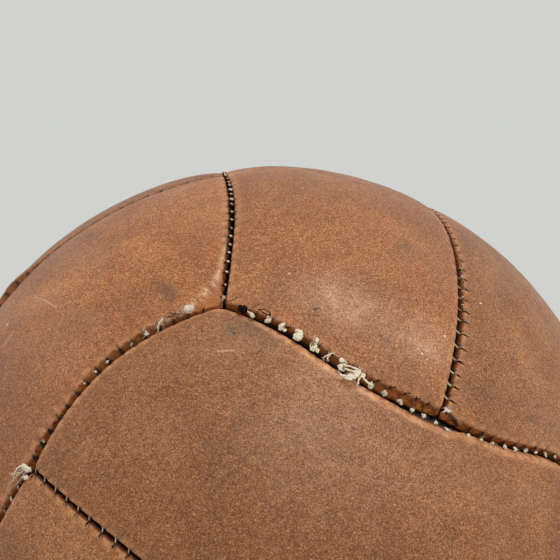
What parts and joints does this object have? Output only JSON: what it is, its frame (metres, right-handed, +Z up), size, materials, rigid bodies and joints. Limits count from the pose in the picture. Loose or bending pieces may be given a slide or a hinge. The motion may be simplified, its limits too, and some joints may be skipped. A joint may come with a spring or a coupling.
{
  "type": "medicine ball",
  "caption": "Stuffed leather medicine ball, hand-stitched from strip panels over a canvas bag packed with hair, standing on its own flattened patch.",
  "frame": {"origin": "middle of the flattened patch that the ball stands on", "axes": "+Z up, -Y towards the front face of the ball, +X to the right seen from the front"},
  "size_m": [0.2799, 0.2799, 0.2777],
  "materials": {
    "leather": "worn tan hide with a dull wax sheen, more orange inside the seams",
    "linen_thread": "waxed linen thread, frayed and greyed",
    "canvas_lining": "plain unbleached canvas",
    "packed_hair": "matted hair and rag"
  },
  "bodies": {
    "root": {"filling": "packed_hair", "lining_left_half": "canvas_lining", "lining_right_half": "canvas_lining", "panel_back_lower": "leather", "panel_back_upper": "leather", "panel_bottom_left": "leather", "panel_bottom_right": "leather", "panel_front_lower": "leather", "panel_front_upper": "leather", "panel_left_back": "leather", "panel_left_front": "leather", "panel_right_back": "leather", "panel_right_front": "leather", "panel_top_left": "leather", "panel_top_right": "leather", "thread_back_lower_to_bottom_left": "linen_thread", "thread_back_lower_to_bottom_right": "linen_thread", "thread_back_lower_to_left_back": "linen_thread", "thread_back_lower_to_right_back": "linen_thread", "thread_back_upper_to_back_lower": "linen_thread", "thread_back_upper_to_left_back": "linen_thread", "thread_back_upper_to_right_back": "linen_thread", "thread_back_upper_to_top_left": "linen_thread", "thread_back_upper_to_top_right": "linen_thread", "thread_bottom_left_to_bottom_right": "linen_thread", "thread_bottom_left_to_left_back": "linen_thread", "thread_bottom_left_to_left_front": "linen_thread", "thread_bottom_right_to_right_back": "linen_thread", "thread_bottom_right_to_right_front": "linen_thread", "thread_front_lower_to_bottom_left": "linen_thread", "thread_front_lower_to_bottom_right": "linen_thread", "thread_front_lower_to_left_front": "linen_thread", "thread_front_lower_to_right_front": "linen_thread", "thread_front_upper_to_front_lower": "linen_thread", "thread_front_upper_to_left_front": "linen_thread", "thread_front_upper_to_right_front": "linen_thread", "thread_front_upper_to_top_left": "linen_thread", "thread_front_upper_to_top_right": "linen_thread", "thread_left_front_to_left_back": "linen_thread", "thread_right_front_to_right_back": "linen_thread", "thread_top_left_to_left_back": "linen_thread", "thread_top_left_to_left_front": "linen_thread", "thread_top_left_to_top_right": "linen_thread", "thread_top_right_to_right_back": "linen_thread", "thread_top_right_to_right_front": "linen_thread"}
  },
  "joints": []
}
